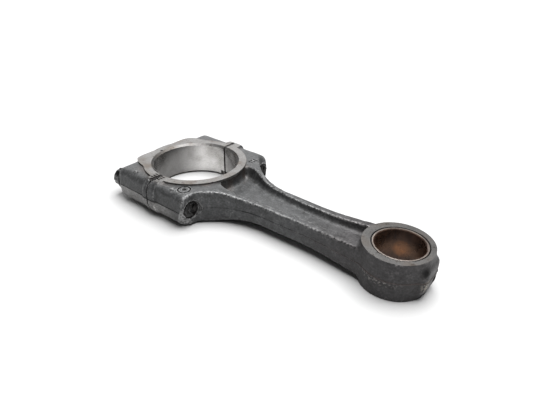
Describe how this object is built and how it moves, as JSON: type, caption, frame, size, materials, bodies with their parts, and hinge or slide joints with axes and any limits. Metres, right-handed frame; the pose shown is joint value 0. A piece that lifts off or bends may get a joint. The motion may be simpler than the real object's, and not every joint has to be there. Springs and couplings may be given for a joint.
{
  "type": "connecting rod",
  "caption": "Forged connecting rod with a split big end, its bearing cap held by two bolts, an I-beam shank and a bushed small end.",
  "frame": {"origin": "middle of the footprint, on the plane of the lower thrust faces", "axes": "+X along the rod from the big end towards the small end, +Z along both bores, +Y across the bolts towards the far bolt"},
  "size_m": [0.2196, 0.0908, 0.0245],
  "materials": {
    "forged_steel": "dark grey blasted forging with ground thrust faces and bored ends",
    "bolt_steel": "black phosphate, lightly oiled",
    "bush_bronze": "steel-backed bronze, worn brown inside, bright end face"
  },
  "bodies": {
    "rod": {"rod_body": "forged_steel", "small_end_bush": "bush_bronze"},
    "cap": {"bearing_cap": "forged_steel"},
    "bolt_near": {"cap_bolt_near": "bolt_steel"},
    "bolt_far": {"cap_bolt_far": "bolt_steel"}
  },
  "joints": [
    {"name": "cap_slide", "type": "slide", "parent": "rod", "child": "cap", "axis": [-1, 0, 0], "range_m": [0, 0.06]},
    {"name": "bolt_near_slide", "type": "slide", "parent": "cap", "child": "bolt_near", "axis": [-1, 0, 0], "range_m": [0, 0.075]},
    {"name": "bolt_far_slide", "type": "slide", "parent": "cap", "child": "bolt_far", "axis": [-1, 0, 0], "range_m": [0, 0.075]}
  ]
}
